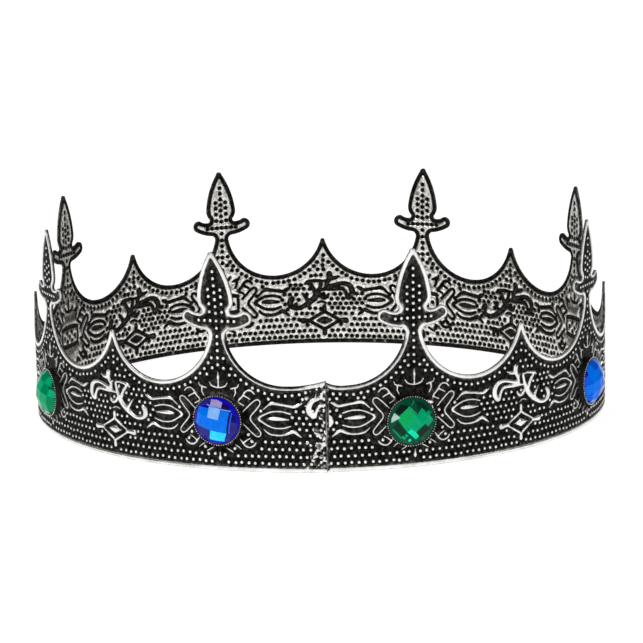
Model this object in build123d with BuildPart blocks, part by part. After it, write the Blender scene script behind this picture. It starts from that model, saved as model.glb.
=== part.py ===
from build123d import *
from math import asin, cos, degrees, radians, sin
import os

# A crown made of one cut-out and embossed metal strip, bent into a ring and lapped at the front.
# Spear-shaped finials stand on its top edge with a small cusp between each pair, and below each
# finial a faceted stone sits in a soldered cup.  The embossing is shallow and is left to the finish.
#
# Frame: origin on the ring's axis at the height of the bottom edge, +Z up, the lapped seam near -Y.
# Azimuths are in degrees about +Z, counted from -Y towards +X.  Along the strip, "run" is the arc
# length from a finial's centre line, in the ring's outer face.  Everything is in millimetres.

# --- driving dimensions: the ring ---------------------------------------------------------------
ring_radius = 95.0          # outer face of the strip
sheet = 0.8                 # thickness of the strip over its embossing
finial_count = 8
finial_pitch = 46.3         # degrees between finials, the seam panel being narrower
first_finial = 17.0         # azimuth of the finial just right of the seam
seam = 0.8                  # azimuth of the upper lap's cut edge
lap = 2.5                   # length of the overlap
lap_gap = 0.1               # solder film between the two layers, where the overlap begins
joggle_start = 5.0          # degrees past the last finial, where the upper lap begins to lift

# --- driving dimensions: the cut-out outline ----------------------------------------------------
tip_height = 66.3
scallop_run = 20.3          # from the finial's centre line to the scallop's lowest point
scallop_low = 26.2
scallop_wall_run = 7.57     # the scallop's wall, halfway from the neck to its lowest point
scallop_wall_height = 31.47
neck_half_width = 2.5
neck_height = 41.2
cusp_height = 39.8
cusp_half_width = 0.8
seam_height_left = 28.0     # top edge at the seam on the upper lap
seam_height_right = 27.3    # and on the lower one

# --- driving dimensions: the settings -----------------------------------------------------------
cup_radius = 7.6
cup_wall = 0.45
cup_floor = 0.4
cup_depth = 1.8
cup_height = 15.2           # height of a cup's centre above the bottom edge
cup_lift = 0.15             # solder between the strip and the cup's floor
solder_inset = 0.3          # how far the solder stays inside the cup's rim
cup_rim_round = 0.18        # rounding of the cup's outer rim
foil = 0.1
stone_clearance = 0.05
girdle_height = 1.2         # flat back to the start of the facets
dome_height = 3.3           # facets, above the girdle
facet_pitch = 3.1

# Each cup was set by hand: its drift along the strip and up from the nominal centre.
cup_drift = [(-1.6, -0.6), (-0.8, -0.5), (0.4, 0.2), (-0.5, 0.3),
             (0.2, -0.3), (0.5, 0.1), (1.6, -1.0), (0.1, 0.5)]
# Each stone was dropped in at its own turn, in degrees.
stone_turn = [42.0, 17.0, 61.0, 5.0, 49.0, 28.0, 72.0, -9.0]

# Room that a shape is given past the strip, before it is trimmed or cut away.
inside_room = 3.0
outside_room = 5.0
edge_room = 2.0

half_pitch = radians(finial_pitch) * ring_radius / 2
last_finial = first_finial + (finial_count - 1) * finial_pitch
seam_run_left = radians(360 + seam - last_finial) * ring_radius
seam_run_right = radians(first_finial - seam) * ring_radius
inner_radius = ring_radius - sheet

os.makedirs("parts", exist_ok=True)


def outward(azimuth):
    """Unit vector from the axis towards an azimuth."""
    angle = radians(azimuth - 90)
    return Vector(cos(angle), sin(angle), 0)


def facing(azimuth, distance, height=0.0):
    """Plane that faces outward at an azimuth, its x axis along the ring and its y axis up."""
    direction = outward(azimuth)
    along = Vector(-direction.Y, direction.X, 0)
    origin = direction * distance + Vector(0, 0, height)
    return Plane(origin=origin, x_dir=along, z_dir=direction)


# --- band ---------------------------------------------------------------------------------------
def joggle():
    """Radius, centre and sweep of the larger arc that lifts the upper lap over the lower one."""
    full_turn = radians(360 + seam - last_finial - joggle_start)
    turn = full_turn - lap / ring_radius
    lifted = ring_radius + sheet + lap_gap
    shift = (lifted**2 - ring_radius**2) / (2 * (ring_radius - lifted * cos(turn)))
    radius = ring_radius + shift
    sweep = degrees(full_turn - asin(shift * sin(full_turn) / radius))
    centre = outward(last_finial + joggle_start) * -shift
    return radius, centre, sweep


def lap_surface(azimuth):
    """Distance of the upper lap's outer face from the ring's axis."""
    shift = lap_radius - ring_radius
    turn = radians(azimuth + 360 - last_finial - joggle_start)
    return (lap_radius**2 - (shift * sin(turn)) ** 2) ** 0.5 - shift * cos(turn)


def opening(finial_azimuth, side, end):
    """Face of the opening beside a finial, from its centre line to a cusp or to the seam.

    side is +1 for the opening on the finial's counter-clockwise side and -1 for the other.
    end names what the opening runs out to: "cusp", "seam_left" or "seam_right".
    """
    middle = half_pitch / 2
    top = tip_height + edge_room

    def at(run, height):
        return (side * ring_radius * sin((run - middle) / ring_radius), height)

    lowest = at(scallop_run, scallop_low)
    wall = at(scallop_wall_run, scallop_wall_height)
    far_wall = at(2 * scallop_run - scallop_wall_run, scallop_wall_height)
    seat = facing(finial_azimuth + side * finial_pitch / 4, inner_radius - inside_room)
    with BuildSketch(seat) as face:
        with BuildLine():
            # The spear's blade, shoulder, cross-guard arm and neck, from the tip down.
            ThreePointArc(at(0, tip_height), at(0.7, 66.0), at(1.05, 65.3))
            ThreePointArc(at(1.05, 65.3), at(3.75, 60.0), at(5.6, 52.4))
            ThreePointArc(at(5.6, 52.4), at(5.35, 50.4), at(4.4, 48.9))
            ThreePointArc(at(4.4, 48.9), at(4.6, 48.0), at(5.5, 47.7))
            ThreePointArc(at(5.5, 47.7), at(7.0, 47.9), at(8.4, 48.6))
            ThreePointArc(at(8.4, 48.6), at(11.1, 46.6), at(9.8, 44.6))
            ThreePointArc(at(9.8, 44.6), at(7.0, 43.4), at(3.9, 42.8))
            ThreePointArc(at(3.9, 42.8), at(2.95, 42.3), at(neck_half_width, neck_height))
            ThreePointArc(at(neck_half_width, neck_height), wall, lowest)
            if end == "cusp":
                edge = half_pitch - cusp_half_width
                ThreePointArc(lowest, far_wall, at(edge, 39.1))
                ThreePointArc(at(edge, 39.1), at(edge + 0.25, 39.6), at(half_pitch, cusp_height))
                shore = at(half_pitch + 1.5, cusp_height + edge_room)
                Line(at(half_pitch, cusp_height), shore)
            elif end == "seam_left":
                ThreePointArc(lowest, at(26.5, 26.6), at(seam_run_left, seam_height_left))
                past = at(seam_run_left + 0.4, seam_height_left)
                shore = at(seam_run_left + edge_room, seam_height_left + edge_room)
                Polyline(at(seam_run_left, seam_height_left), past, shore)
            else:
                ThreePointArc(lowest, at(24.0, 26.3), at(seam_run_right, seam_height_right))
                past = at(seam_run_right, seam_height_left + 0.3)
                shore = at(seam_run_right + edge_room, seam_height_left + edge_room)
                Polyline(at(seam_run_right, seam_height_right), past, shore)
            Polyline(shore, (shore[0], top), (at(0, 0)[0], top), at(0, tip_height))
        make_face()
    return face.sketch


lap_radius, lap_centre, lap_sweep = joggle()
strip_start = seam - degrees(lap / ring_radius)
lift_point = last_finial + joggle_start
main_sweep = lift_point - strip_start

with BuildPart() as band:
    with BuildSketch() as strip_plan:
        with BuildLine():
            outer_run = CenterArc((0, 0), ring_radius, strip_start - 90, main_sweep)
            outer_lap = CenterArc(lap_centre, lap_radius, lift_point - 90, lap_sweep)
            inner_run = CenterArc((0, 0), inner_radius, strip_start - 90, main_sweep)
            inner_lap = CenterArc(lap_centre, lap_radius - sheet, lift_point - 90, lap_sweep)
            Line(outer_run @ 0, inner_run @ 0)
            Line(outer_lap @ 1, inner_lap @ 1)
        make_face()
    extrude(amount=tip_height)
    cut_depth = inside_room + sheet + outside_room
    for index in range(finial_count):
        azimuth = first_finial + index * finial_pitch
        before = "seam_right" if index == 0 else "cusp"
        after = "seam_left" if index == finial_count - 1 else "cusp"
        for side, end in ((-1, before), (1, after)):
            extrude(opening(azimuth, side, end), amount=cut_depth, mode=Mode.SUBTRACT)

band.part.label = "band"
export_step(band.part, "parts/band.step")

# --- seam solder --------------------------------------------------------------------------------
# A fillet along the cut edge, and splashes on the upper lap: run left of the seam, height, radius.
fillet_leg = 0.8
fillet_rise = 0.85          # share of the cut edge that the solder covers
fillet_foot = 0.6           # bare edge below and above the fillet
touch = 0.01                # keeps flat faces off the curved strip
splash_sink = 0.1           # share of a splash's radius that its centre lies below the surface
splashes = [(1.2, 2.2, 0.9), (3.2, 3.0, 0.8), (1.6, 5.4, 0.7), (4.6, 5.0, 0.6), (2.4, 8.2, 0.8),
            (1.1, 11.6, 0.6), (2.9, 13.2, 0.9), (1.3, 17.4, 0.7), (1.5, 21.8, 0.8), (1.0, 25.6, 0.6)]

with BuildPart() as seam_solder:
    for run, height, radius in splashes:
        azimuth = seam - degrees(run / ring_radius)
        with Locations(facing(azimuth, lap_surface(azimuth) - splash_sink * radius, height).origin):
            Sphere(radius)
    with BuildSketch() as upper_lap_plan:
        with Locations(lap_centre):
            Circle(lap_radius)
    extrude(amount=tip_height, mode=Mode.SUBTRACT)
    with BuildSketch(Plane.XY.offset(fillet_foot)) as fillet_plan:
        with BuildLine():
            edge_low = inner_lap @ 1
            edge_high = edge_low + (outer_lap @ 1 - edge_low) * fillet_rise
            toe = outward(seam + degrees(fillet_leg / ring_radius)) * (ring_radius + touch)
            heel = outward(seam) * (ring_radius + touch)
            Polyline(edge_low, edge_high, toe, heel, edge_low)
        make_face()
    extrude(amount=scallop_low - 2 * fillet_foot)

seam_solder.part.label = "seam_solder"
export_step(seam_solder.part, "parts/seam_solder.step")


# --- settings -----------------------------------------------------------------------------------
def facet_normals(seat, turn):
    """Outward directions of a stone's square facets, a grid turned about the seat's axis."""
    steps = range(-2, 3)
    for column in steps:
        for row in steps:
            x = facet_pitch * (column * cos(turn) - row * sin(turn))
            y = facet_pitch * (column * sin(turn) + row * cos(turn))
            if x * x + y * y < stone_radius**2:
                reach = (dome_radius**2 - x * x - y * y) ** 0.5
                yield (seat.x_dir * x + seat.y_dir * y + seat.z_dir * reach).normalized()


stone_radius = cup_radius - cup_wall - stone_clearance
dome_radius = (stone_radius**2 + dome_height**2) / (2 * dome_height)

for index in range(finial_count):
    number = index + 1
    drift, rise = cup_drift[index]
    azimuth = first_finial + index * finial_pitch + degrees(drift / ring_radius)
    height = cup_height + rise
    floor_level = ring_radius + cup_lift
    bed_level = floor_level + cup_floor

    with BuildPart() as cup_solder:
        with BuildSketch(facing(azimuth, ring_radius - inside_room, height)) as pad_outline:
            Circle(cup_radius - solder_inset)
        extrude(amount=inside_room + cup_lift)
        with BuildSketch() as ring_face:
            Circle(ring_radius)
        extrude(amount=tip_height, mode=Mode.SUBTRACT)
    cup_solder.part.label = f"cup_solder_{number}"
    export_step(cup_solder.part, f"parts/cup_solder_{number}.step")

    with BuildPart() as cup:
        with BuildSketch(facing(azimuth, floor_level, height)) as cup_outline:
            Circle(cup_radius)
        extrude(amount=cup_depth)
        rim = cup.faces().sort_by(SortBy.DISTANCE)[-1].edges()
        fillet(rim, cup_rim_round)
        with BuildSketch(facing(azimuth, bed_level, height)) as bore_outline:
            Circle(cup_radius - cup_wall)
        extrude(amount=cup_depth, mode=Mode.SUBTRACT)
    cup.part.label = f"cup_{number}"
    export_step(cup.part, f"parts/cup_{number}.step")

    with BuildPart() as foil_disc:
        with BuildSketch(facing(azimuth, bed_level, height)) as foil_outline:
            Circle(stone_radius)
        extrude(amount=foil)
    foil_disc.part.label = f"foil_{number}"
    export_step(foil_disc.part, f"parts/foil_{number}.step")

    # The stone is turned to a low cylinder, and its dome is cut flat facet by facet.
    seat = facing(azimuth, bed_level + foil, height)
    colour = "green" if index % 2 == 0 else "blue"
    with BuildPart() as stone:
        with BuildSketch(seat) as stone_outline:
            Circle(stone_radius)
        extrude(amount=girdle_height + dome_height)
        dome_centre = seat.origin + seat.z_dir * (girdle_height + dome_height - dome_radius)
        for normal in facet_normals(seat, radians(stone_turn[index])):
            split(bisect_by=Plane(origin=dome_centre + normal * dome_radius, z_dir=normal),
                  keep=Keep.BOTTOM)
    stone.part.label = f"stone_{number}_{colour}"
    export_step(stone.part, f"parts/stone_{number}_{colour}.step")
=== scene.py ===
import math

import bpy
import numpy as np
from mathutils import Matrix, Vector
from mathutils.geometry import delaunay_2d_cdt


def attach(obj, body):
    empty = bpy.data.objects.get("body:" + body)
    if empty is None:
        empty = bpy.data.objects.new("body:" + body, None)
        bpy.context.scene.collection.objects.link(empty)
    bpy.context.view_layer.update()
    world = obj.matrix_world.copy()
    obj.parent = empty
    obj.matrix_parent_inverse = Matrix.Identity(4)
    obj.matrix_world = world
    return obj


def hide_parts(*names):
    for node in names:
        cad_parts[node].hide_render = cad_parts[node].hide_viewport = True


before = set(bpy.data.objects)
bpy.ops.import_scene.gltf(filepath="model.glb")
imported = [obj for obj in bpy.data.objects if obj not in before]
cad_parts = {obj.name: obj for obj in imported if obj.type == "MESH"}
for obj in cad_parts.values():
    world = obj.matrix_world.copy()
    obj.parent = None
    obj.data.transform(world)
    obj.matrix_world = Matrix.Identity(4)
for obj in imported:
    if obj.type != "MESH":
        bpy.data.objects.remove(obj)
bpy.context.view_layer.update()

# The pattern is drawn flat, in millimetres: "run" along the strip (counter-clockwise seen from
# above, 0 opposite +Y) and height above the bottom edge.  Meshes are made in metres.
MM = 0.001

# --- the ring, as the CAD part states it ---
RING_RADIUS = 95.0
SHEET = 0.8
LAP = 2.5
LAP_GAP = 0.1
FINIALS = 8
PITCH = math.radians(46.3)
FIRST_FINIAL = math.radians(17.0)
SEAM = math.radians(0.8)
JOGGLE_START = math.radians(5.0)
HALF_PITCH = PITCH * RING_RADIUS / 2
LIFT = FIRST_FINIAL + (FINIALS - 1) * PITCH + JOGGLE_START
FINIAL_RUNS = [(FIRST_FINIAL + i * PITCH) * RING_RADIUS for i in range(FINIALS)]
CUSP_RUNS = [run + HALF_PITCH for run in FINIAL_RUNS[:-1]]
BEYOND_SEAM = [FINIAL_RUNS[0] - HALF_PITCH, FINIAL_RUNS[-1] + HALF_PITCH]
TIP = 66.3
NECK = (2.5, 41.2)
SCALLOP_RUN, SCALLOP_RADIUS, SCALLOP_CENTRE = 20.3, 18.0, 44.2
CUSP_HEIGHT, CUSP_HALF_WIDTH = 39.8, 0.8
SEAM_LEFT, SEAM_RIGHT = 28.0, 27.3

# --- the embossing ---
RELIEF = 0.5        # height of the raised lines and dots
GROUND = -0.42      # outer ground, from the CAD part's outer face
BACK = -0.85        # inner face
DENT = 0.34         # depth of the dents on the inner face
RIM = 1.3           # width of the raised rim
DOT = 0.62          # radius at a dot's foot
DOT_PITCH = 2.1
# On the inner face each dent ends between two distances: from the outline, from a stroke's edge
# and from a dot's middle.
LEDGE, GROOVE, PIT = (RIM, 1.65), (0.12, 0.46), (0.66, 0.95)
# The blades were bent a little when the crown was shaped: sideways drift of each tip.
BLADE_LEAN = [0.1, 0.3, -0.4, -0.5, 0.5, 0.3, 0.4, -1.4]
BLADE_REACH = 16    # how far from a finial's middle its own drift is felt
SPLASHES = 70

# Rows of mesh points: distances in from the outline and out from a stroke's edge, then rings round
# a dot's middle (radius, count, turn as a share of the step).
OUTER_ROWS = (0.22, 0.95, RIM), (0.13, -0.14), ((0, 1, 0), (0.4, 5, 0.5), (0.66, 6, 0))
INNER_ROWS = LEDGE, GROOVE, ((PIT[0], 6, 0.5), (PIT[1], 8, 0))
GROUND_STEP = 2.5   # spacing of the points between the lines and dots
# Least room round a mesh point on the relief, between two dots and on open ground.
RELIEF_GAP, BETWEEN_GAP, GROUND_GAP = 0.21, 0.45, 0.9
FAR = 9.0           # any distance too long to matter

rng = np.random.default_rng(516)


# --- flat drawing ---
def arc(start, through, end, step=0.85):
    """Points on the circle through three points, from the first up to but without the last."""
    (ax, ay), (bx, by), (cx, cy) = start, through, end
    d = 2 * (ax * (by - cy) + bx * (cy - ay) + cx * (ay - by))
    a2, b2, c2 = ax * ax + ay * ay, bx * bx + by * by, cx * cx + cy * cy
    ux = (a2 * (by - cy) + b2 * (cy - ay) + c2 * (ay - by)) / d
    uy = (a2 * (cx - bx) + b2 * (ax - cx) + c2 * (bx - ax)) / d
    radius = math.hypot(ax - ux, ay - uy)
    t0 = math.atan2(ay - uy, ax - ux)
    t1 = (math.atan2(by - uy, bx - ux) - t0) % math.tau
    t2 = (math.atan2(cy - uy, cx - ux) - t0) % math.tau
    sweep = t2 if t1 < t2 else t2 - math.tau
    count = max(2, round(abs(sweep) * radius / step))
    angles = t0 + sweep * np.arange(count) / count
    return [(ux + radius * math.cos(t), uy + radius * math.sin(t)) for t in angles]


def half_outline(end):
    """Top edge from a finial's tip outwards, up to a cusp's tip or to the seam."""
    low = (SCALLOP_RUN, SCALLOP_CENTRE - SCALLOP_RADIUS)
    points = arc((0, TIP), (0.7, 66.0), (1.05, 65.3), 0.4)
    points += arc((1.05, 65.3), (3.75, 60.0), (5.6, 52.4))
    points += arc((5.6, 52.4), (5.35, 50.4), (4.4, 48.9), 0.6)
    points += arc((4.4, 48.9), (4.6, 48.0), (5.5, 47.7), 0.35)
    points += arc((5.5, 47.7), (7.0, 47.9), (8.4, 48.6), 0.6)
    points += arc((8.4, 48.6), (11.1, 46.6), (9.8, 44.6), 0.5)
    points += arc((9.8, 44.6), (7.0, 43.4), (3.9, 42.8), 0.7)
    points += arc((3.9, 42.8), (2.95, 42.3), NECK, 0.35)
    points += arc(NECK, (7.57, 31.47), low)
    if end == "cusp":
        edge = HALF_PITCH - CUSP_HALF_WIDTH
        points += arc(low, (33.03, 31.47), (edge, 39.1))
        points += arc((edge, 39.1), (edge + 0.25, 39.6), (HALF_PITCH, CUSP_HEIGHT), 0.4)
        return points
    if end == "seam_left":
        stop = (RUN_END - FINIAL_RUNS[-1], SEAM_LEFT)
        return points + arc(low, (26.5, 26.6), stop) + [stop]
    stop = (FINIAL_RUNS[0] - SEAM * RING_RADIUS, SEAM_RIGHT)
    hidden = (FINIAL_RUNS[0] - RUN_START, SEAM_RIGHT - 0.6)
    return points + arc(low, (24.0, 26.3), stop) + [stop, hidden]


def lap_shape():
    """Radius, centre distance and sweep of the arc that lifts the upper lap over the lower one."""
    full_turn = math.tau + SEAM - LIFT
    turn = full_turn - LAP / RING_RADIUS
    lifted = RING_RADIUS + SHEET + LAP_GAP
    shift = (lifted**2 - RING_RADIUS**2) / (2 * (RING_RADIUS - lifted * math.cos(turn)))
    radius = RING_RADIUS + shift
    return radius, shift, full_turn - math.asin(shift * math.sin(full_turn) / radius)


LAP_RADIUS, LAP_SHIFT, LAP_SWEEP = lap_shape()
RUN_START = SEAM * RING_RADIUS - LAP
RUN_LIFT = LIFT * RING_RADIUS
RUN_END = RUN_LIFT + LAP_RADIUS * LAP_SWEEP


def bend(run, height, out):
    """Flat pattern to the bent ring, in metres: out is measured from the CAD outer face."""
    on_lap = run > RUN_LIFT
    azimuth = np.where(on_lap, LIFT + (run - RUN_LIFT) / LAP_RADIUS, run / RING_RADIUS)
    radius = np.where(on_lap, LAP_RADIUS, RING_RADIUS) + out
    shift = np.where(on_lap, LAP_SHIFT, 0.0)
    x = radius * np.sin(azimuth) - shift * math.sin(LIFT)
    y = -radius * np.cos(azimuth) + shift * math.cos(LIFT)
    return np.column_stack([x, y, height]) * MM


def off_ends(points, margin):
    """Which points keep a margin from both ends of the strip."""
    return (points[:, 0] > RUN_START + margin) & (points[:, 0] < RUN_END - margin)


def lean(points):
    """Bends each blade sideways by its own drift, from the neck up."""
    points = points.copy()
    above = np.clip((points[:, 1] - NECK[1]) / (TIP - NECK[1]), 0, 1) ** 1.5
    for run, drift in zip(FINIAL_RUNS, BLADE_LEAN):
        near = np.abs(points[:, 0] - run) < BLADE_REACH
        points[near, 0] += (drift * above)[near]
    return points


def band_outline():
    """Closed outline of the flat strip, counter-clockwise from the bottom edge's left end.

    Also the number of points of its bottom edge, which the top edge follows."""
    bottom = [(x, 0.0) for x in np.arange(RUN_START, RUN_END, 1.3)]
    top = []
    for i, run in enumerate(FINIAL_RUNS):
        before = half_outline("seam_right" if i == 0 else "cusp")
        after = half_outline("seam_left" if i == FINIALS - 1 else "cusp")
        top += [(run - x, z) for x, z in reversed(before[1:])]
        top += [(run + x, z) for x, z in after]
        if i < FINIALS - 1:
            top.append((run + HALF_PITCH, CUSP_HEIGHT))
    loop = np.array(bottom + [(RUN_END, 0.0)] + top[::-1])
    return lean(loop), len(bottom) + 1


def smooth(points, step=0.75):
    """Catmull-Rom line through (run, height, half width) points, sampled evenly enough."""
    p = np.array(points, float)
    padded = np.vstack([2 * p[0] - p[1], p, 2 * p[-1] - p[-2]])
    line = []
    for a, b, c, d in zip(padded, padded[1:], padded[2:], padded[3:]):
        count = max(1, round(float(np.hypot(*(c - b)[:2])) / step))
        for t in np.arange(count) / count:
            line.append(b + 0.5 * t * (c - a + t * (2 * a - 5 * b + 4 * c - d
                                                    + t * (3 * (b - c) + d - a))))
    line.append(p[-1])
    line = np.array(line)
    line[:, 2] = np.clip(line[:, 2], 0.1, None)
    return line


# Each line is (run, height, half width) along its middle.  Beside a finial they are mirrored.
BESIDE_FINIAL = [
    # chevron: one thin line round a hollow arrow
    [(7.4, 18.2, .2), (9.4, 20.2, .2), (11.3, 21.9, .22), (12.5, 22.0, .24), (12.9, 20.9, .22),
     (11.6, 19.0, .2), (9.7, 16.4, .24), (11.6, 13.7, .2), (12.9, 12.0, .22), (12.5, 10.9, .24),
     (11.3, 11.0, .22), (9.4, 12.8, .2), (7.4, 14.7, .2)],
    # lotus eye, its pupil and its two outer petals
    [(22.0, 17.9, .26), (19.5, 18.6, .26), (16.5, 18.55, .26), (13.9, 17.5, .3), (12.3, 16.35, .42),
     (13.9, 15.0, .3), (16.5, 13.7, .26), (19.5, 13.5, .26), (22.0, 14.2, .26)],
    [(15.3, 16.4, .25), (16.8, 16.45, .58), (19.0, 16.35, .5), (21.4, 16.2, .2)],
    [(13.9, 19.2, .14), (15.3, 20.5, .28), (16.6, 21.1, .48), (18.6, 20.8, .36), (21.4, 20.35, .36),
     (23.3, 20.1, .42), (24.5, 20.8, .46), (25.5, 21.2, .2)],
    [(13.9, 13.1, .14), (15.2, 11.9, .26), (17.0, 11.4, .34), (19.5, 11.4, .34), (21.4, 12.0, .38),
     (22.8, 12.6, .52), (24.0, 11.8, .38), (25.1, 10.9, .2)],
    # three-pronged comb above the chevron and hook below it
    [(11.2, 23.8, .2), (10.3, 24.7, .26), (9.2, 24.9, .26), (8.2, 24.2, .3), (7.4, 22.9, .34),
     (6.4, 21.9, .3), (5.9, 21.2, .22), (6.7, 20.8, .2), (7.8, 20.2, .16)],
    [(7.7, 23.3, .3), (8.8, 22.8, .24), (9.8, 22.2, .2)],
    [(11.3, 8.8, .2), (10.6, 7.9, .3), (9.2, 7.4, .32), (8.0, 7.9, .3), (7.2, 8.9, .3),
     (6.5, 9.8, .18)],
    [(7.8, 9.0, .24), (8.7, 9.7, .22), (9.6, 10.2, .16)],
    # forked stroke beside the gem's top, and the thin strokes under the gem
    [(3.9, 25.1, .16), (5.1, 25.5, .32), (6.1, 25.8, .2), (6.4, 26.6, .14)],
    [(5.2, 25.4, .3), (5.4, 24.0, .22), (4.7, 22.6, .16)],
    [(2.2, 6.9, .12), (3.2, 6.3, .2), (4.2, 5.7, .12)],
    [(4.9, 8.1, .12), (5.9, 7.5, .18), (6.7, 6.8, .12)],
    # half of the anchor's arc above the gem
    [(0.0, 25.3, .2), (1.2, 25.5, .22), (2.3, 26.0, .24), (2.9, 26.9, .14)],
    # half of the square medallion that the cup covers outside and that shows inside the ring
    [(0.0, 19.9, .5), (3.0, 19.8, .5), (5.6, 19.4, .42)],
    [(0.0, 13.2, .5), (3.0, 13.3, .5), (5.6, 13.7, .42)],
    [(5.7, 18.2, .28), (5.8, 16.5, .3), (5.7, 14.9, .28)],
]
ON_FINIAL = [
    [(0, 30.0, .12), (0, 28.6, .38), (0, 26.9, .26), (0, 25.5, .18)],
    [(0, 5.5, .12), (0, 4.5, .3), (0, 3.7, .5), (0, 3.2, .34)],
]
# The scroll and the diamond under each cusp, counted from the cusp's middle.
UNDER_CUSP = [
    [(-9.6, 17.3, .75), (-10.8, 18.7, .8), (-10.7, 20.5, .82), (-9.8, 21.9, .7), (-8.0, 22.6, .55),
     (-6.0, 22.5, .5), (-3.8, 21.9, .5), (-1.6, 21.5, .5)],
    [(-9.2, 17.3, .7), (-8.6, 18.7, .42), (-8.1, 19.8, .42), (-7.0, 20.6, .45), (-5.2, 20.7, .5),
     (-3.2, 20.6, .55), (-1.2, 20.6, .5), (0.8, 20.3, .3), (2.0, 19.9, .4)],
    [(-2.3, 26.3, .85), (-2.5, 25.1, .75), (-1.9, 23.8, .6), (-1.3, 22.6, .5), (-1.2, 21.2, .5)],
    [(-5.8, 25.2, .22), (-4.4, 24.7, .45), (-2.9, 24.6, .6)],
    [(-1.6, 23.3, .45), (-0.5, 23.7, .25)],
    [(0.7, 23.6, .34), (1.0, 22.4, .42), (1.3, 21.0, .5), (2.0, 19.6, .72), (2.7, 18.2, .85),
     (3.8, 16.8, .85), (5.2, 15.7, .8)],
    [(1.5, 18.8, .4), (0.7, 17.6, .46), (-0.6, 17.2, .52), (-1.6, 18.0, .4), (-1.9, 18.6, .18)],
    [(0.9, 23.6, .32), (2.6, 23.8, .34), (4.5, 23.6, .42), (6.0, 23.2, .56), (6.8, 22.7, .25)],
    [(5.6, 22.9, .35), (4.4, 21.8, .48), (3.7, 20.6, .5), (3.1, 19.3, .6)],
    [(5.2, 15.6, .82), (6.7, 14.7, .7), (8.3, 13.8, .58), (10.0, 13.5, .58), (11.7, 13.9, .66),
     (12.7, 15.0, .78), (12.5, 16.4, .85), (11.8, 17.2, .6)],
    [(5.8, 16.2, .6), (6.7, 17.4, .38), (7.4, 18.4, .28), (8.0, 19.0, .14)],
    [(-0.8, 15.2, .12), (0.6, 15.8, .2), (2.2, 15.4, .12)],
]
# The diamond's sides are straight, so each is its own line.
CORNERS = [(-6.1, 8.6, .34), (-0.2, 12.0, .36), (5.7, 8.6, .34), (-0.2, 5.2, .36)]
DIAMOND = list(zip(CORNERS, CORNERS[1:] + CORNERS[:1])) + [
    [(-8.3, 8.5, .85), (-6.2, 8.6, .5)], [(5.8, 8.6, .5), (7.9, 8.6, .85)],
    [(-0.2, 12.2, .5), (-0.2, 13.9, .5)], [(-0.2, 5.0, .45), (-0.2, 3.6, .62)],
    [(-2.8, 8.6, .14), (-0.2, 8.6, 1.2)], [(-0.2, 8.6, 1.2), (2.4, 8.6, .14)],
]


def strokes():
    """Every embossed line of the strip, as arrays of (run, height, half width)."""
    groups = []
    for run in FINIAL_RUNS:
        groups += [(run, -1, BESIDE_FINIAL), (run, 1, BESIDE_FINIAL), (run, 1, ON_FINIAL)]
    for run in BEYOND_SEAM[:1] + CUSP_RUNS + BEYOND_SEAM[1:]:
        groups.append((run, 1, UNDER_CUSP + DIAMOND))
    kept = []
    for run, side, lines in groups:
        for line in lines:
            line = smooth([(run + side * x, z, w) for x, z, w in line])
            line = line[off_ends(line, 0.3)]
            if len(line) > 1:
                kept.append(np.column_stack([lean(line[:, :2]), line[:, 2]]))
    return kept


class Nearby:
    """The segments of lines of (run, height, half width), found by slices of the strip."""

    SLICE, REACH = 6.0, 2.6

    def __init__(self, lines):
        data = np.vstack([np.column_stack([line[:-1, :2], line[1:, :2], line[:-1, 2], line[1:, 2]])
                          for line in lines])
        low = np.minimum(data[:, 0], data[:, 2]) - self.REACH
        high = np.maximum(data[:, 0], data[:, 2]) + self.REACH
        self.slices = {}
        for k in range(int(low.min() // self.SLICE), int(high.max() // self.SLICE) + 1):
            near = (low < (k + 1) * self.SLICE) & (high > k * self.SLICE)
            self.slices[k] = data[near]

    def distance(self, points):
        """Distance from each point to the nearest segment's edge, negative inside it."""
        result = np.full(len(points), FAR)
        keys = np.floor(points[:, 0] / self.SLICE).astype(int)
        for k in np.unique(keys):
            near = self.slices.get(k, ())
            if not len(near):
                continue
            index = np.flatnonzero(keys == k)
            for part in np.array_split(index, max(1, len(index) * len(near) // 2_000_000)):
                result[part] = segment_distance(points[part], near)
        return result


def segment_distance(points, segments):
    a, b = segments[:, 0:2], segments[:, 2:4]
    r0, r1 = segments[:, 4], segments[:, 5]
    along = b - a
    length2 = np.maximum((along**2).sum(1), 1e-9)
    offset = points[:, None, :] - a
    t = np.clip((offset * along).sum(2) / length2, 0, 1)
    gap = np.hypot(offset[..., 0] - t * along[:, 0], offset[..., 1] - t * along[:, 1])
    return (gap - (r0 + t * (r1 - r0))).min(1)


# --- dots ---
# Beside a finial's middle: up the neck and blade, across the guard and under the neck.
FINIAL_DOTS = [(0, z) for z in (60.4, 58.3, 56.2, 54.1, 52.0, 49.9, 47.9, 43.4, 40.9, 38.7, 36.6,
                                34.4, 32.3)]
FINIAL_DOTS += [(side * 1.95, z) for z in (55.0, 52.9, 50.7, 48.3) for side in (-1, 1)]
FINIAL_DOTS += [(k * 1.87, 45.6) for k in range(-3, 4)]
FINIAL_DOTS += [(side * x, z) for x, z in ((1.8, 31.3), (3.6, 29.3), (1.6, 18.1), (1.6, 15.0),
                                           (3.8, 16.5)) for side in (-1, 1)]
FINIAL_DOTS.append((0, 16.5))
CUSP_DOTS = [(0, 33.4), (0, 31.4), (0, 29.7), (-0.2, 27.9), (1.9, 27.9), (0.8, 25.8), (2.7, 25.8),
             (4.7, 25.7)]


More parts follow.
